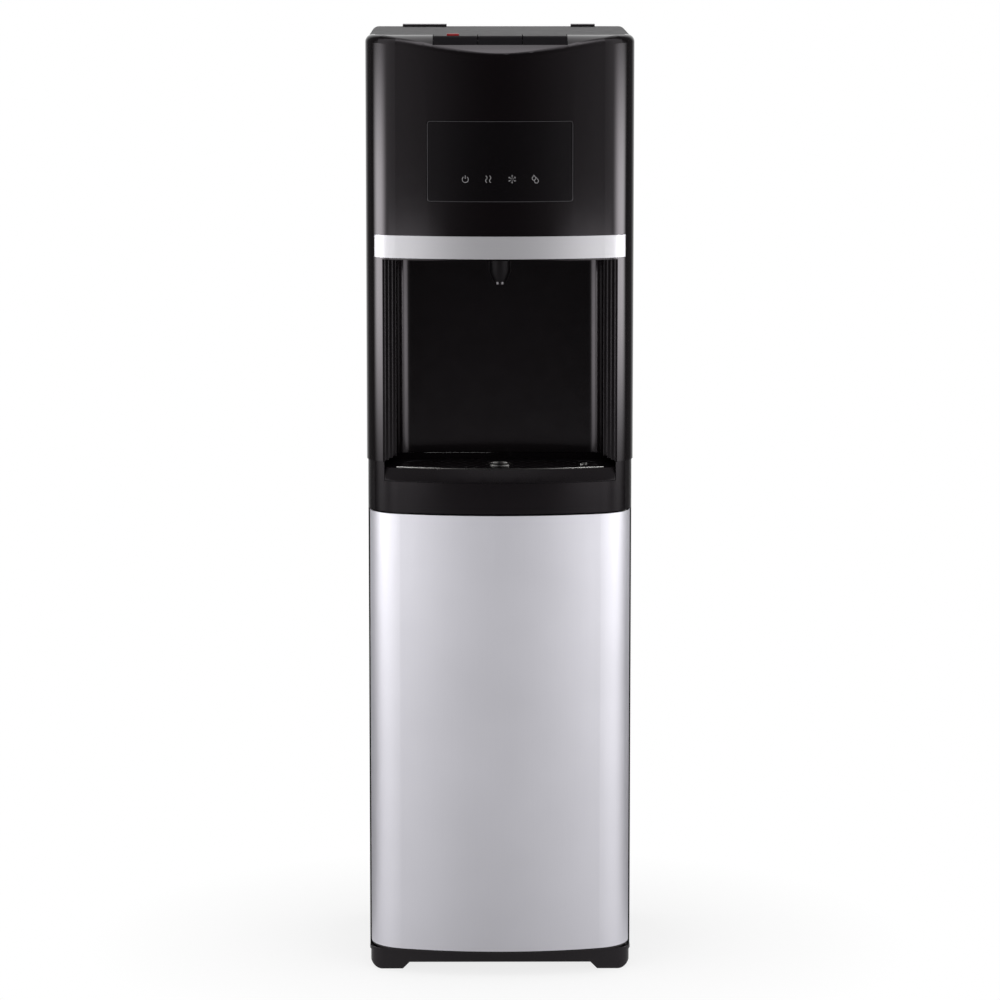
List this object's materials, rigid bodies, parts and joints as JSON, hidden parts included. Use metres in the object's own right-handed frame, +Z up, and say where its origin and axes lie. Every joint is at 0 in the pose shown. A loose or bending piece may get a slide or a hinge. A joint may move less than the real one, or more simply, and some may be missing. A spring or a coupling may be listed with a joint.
{
  "type": "water cooler",
  "caption": "Free-standing bottom-loading water cooler with a bowed steel door, an open dispensing alcove, a drip tray and piano keys in the top front edge.",
  "frame": {"origin": "on the floor, under the middle of the whole outline", "axes": "+X to the right of someone who faces the door, +Y to the rear, +Z up"},
  "size_m": [0.311, 0.36, 1.103],
  "materials": {
    "gloss_black": "gloss",
    "satin_black": "satin",
    "stainless": "brushed",
    "silver_trim": "satin",
    "bright_metal": "polished",
    "smoked_window": "gloss",
    "cabinet_paint": "satin",
    "zinc_sheet": "satin",
    "red_plastic": "gloss",
    "white_plastic": "satin",
    "hose_rubber": "matte",
    "tank_steel": "satin",
    "foam": "matte",
    "black_steel": "satin",
    "dark_rubber": "matte",
    "magnet": "matte",
    "circuit": "satin"
  },
  "bodies": {
    "cabinet": {"head_shell": "gloss_black", "tray_housing": "gloss_black", "alcove_liner": "satin_black", "spout": "satin_black", "tray_frame": "satin_black", "base_pan": "satin_black", "feet": "satin_black", "top_cover": "satin_black", "cover_tabs": "satin_black", "spout_shroud": "satin_black", "switch_housing": "satin_black", "drain_spout": "satin_black", "cord_gland": "satin_black", "key_frame": "satin_black", "trim_band": "silver_trim", "key_rod": "bright_metal", "hinge_pins": "bright_metal", "panel_screws": "bright_metal", "control_window": "smoked_window", "left_side_panel": "cabinet_paint", "right_side_panel": "cabinet_paint", "rear_panel": "zinc_sheet", "mid_shelf": "zinc_sheet", "tank_shelf": "zinc_sheet", "spout_manifold": "white_plastic", "valves": "white_plastic", "water_pump": "white_plastic", "suction_probe": "white_plastic", "outlet_hoses": "hose_rubber", "valve_hoses": "hose_rubber", "lower_hoses": "hose_rubber", "hot_tank": "tank_steel", "cold_tank": "tank_steel", "foam_jacket": "foam", "compressor": "black_steel", "condenser_tube": "black_steel", "condenser_wires": "black_steel", "condenser_stands": "black_steel", "compressor_mounts": "dark_rubber", "catch_magnet": "magnet", "indicator_board": "circuit"},
    "door": {"door_skin": "stainless", "door_frame": "satin_black", "strike_plate": "bright_metal"},
    "hot_key": {"hot_key": "gloss_black"},
    "room_key": {"room_key": "gloss_black"},
    "cold_key": {"cold_key": "gloss_black"},
    "hot_plunger": {"hot_plunger": "white_plastic"},
    "room_plunger": {"room_plunger": "white_plastic"},
    "cold_plunger": {"cold_plunger": "white_plastic"},
    "child_lock": {"child_lock": "red_plastic"},
    "drip_tray": {"drip_tray": "satin_black"},
    "grille": {"drip_grille": "satin_black", "grille_trim": "bright_metal", "grille_rings": "bright_metal"},
    "float": {"level_float": "satin_black"},
    "hot_switch": {"hot_switch": "satin_black"},
    "cold_switch": {"cold_switch": "satin_black"},
    "drain_cap": {"drain_cap": "satin_black"}
  },
  "joints": [
    {"name": "door_hinge", "type": "hinge", "parent": "cabinet", "child": "door", "pos_m": [0.1452, -0.1225, 0.3], "axis": [0, 0, 1], "range_deg": [0, 95]},
    {"name": "hot_key_press", "type": "hinge", "parent": "cabinet", "child": "hot_key", "pos_m": [-0.0512, -0.134, 1.092], "axis": [1, 0, 0], "range_deg": [0, 7], "stiffness_Nm_per_rad": 0.6, "springref_deg": -1.72},
    {"name": "hot_plunger_slide", "type": "slide", "parent": "cabinet", "child": "hot_plunger", "axis": [0, 0, -1], "range_m": [0, 0.0025]},
    {"name": "room_key_press", "type": "hinge", "parent": "cabinet", "child": "room_key", "pos_m": [0, -0.134, 1.092], "axis": [1, 0, 0], "range_deg": [0, 7], "stiffness_Nm_per_rad": 0.6, "springref_deg": -1.72},
    {"name": "room_plunger_slide", "type": "slide", "parent": "cabinet", "child": "room_plunger", "axis": [0, 0, -1], "range_m": [0, 0.0025]},
    {"name": "cold_key_press", "type": "hinge", "parent": "cabinet", "child": "cold_key", "pos_m": [0.0512, -0.134, 1.092], "axis": [1, 0, 0], "range_deg": [0, 7], "stiffness_Nm_per_rad": 0.6, "springref_deg": -1.72},
    {"name": "cold_plunger_slide", "type": "slide", "parent": "cabinet", "child": "cold_plunger", "axis": [0, 0, -1], "range_m": [0, 0.0025]},
    {"name": "child_lock_slide", "type": "slide", "parent": "hot_key", "child": "child_lock", "axis": [0, 1, 0], "range_m": [0, 0.004], "stiffness_N_per_m": 60, "springref_m": -0.001},
    {"name": "tray_slide", "type": "slide", "parent": "cabinet", "child": "drip_tray", "axis": [0, -1, 0], "range_m": [0, 0.11]},
    {"name": "grille_lift", "type": "slide", "parent": "drip_tray", "child": "grille", "axis": [0, 0, 1], "range_m": [0, 0.06]},
    {"name": "float_rise", "type": "slide", "parent": "drip_tray", "child": "float", "axis": [0, 0, 1], "range_m": [0, 0.0045]},
    {"name": "hot_switch_tilt", "type": "hinge", "parent": "cabinet", "child": "hot_switch", "pos_m": [-0.122, 0.139, 1.027], "axis": [1, 0, 0], "range_deg": [-6, 6]},
    {"name": "cold_switch_tilt", "type": "hinge", "parent": "cabinet", "child": "cold_switch", "pos_m": [-0.122, 0.139, 0.993], "axis": [1, 0, 0], "range_deg": [-6, 6]},
    {"name": "drain_cap_pull", "type": "slide", "parent": "cabinet", "child": "drain_cap", "axis": [0, 1, 0], "range_m": [0, 0.03]}
  ],
  "couplings": [
    {"joint": "hot_plunger_slide", "follows": "hot_key_press", "m_per_rad": 0.019},
    {"joint": "room_plunger_slide", "follows": "room_key_press", "m_per_rad": 0.019},
    {"joint": "cold_plunger_slide", "follows": "cold_key_press", "m_per_rad": 0.019}
  ]
}
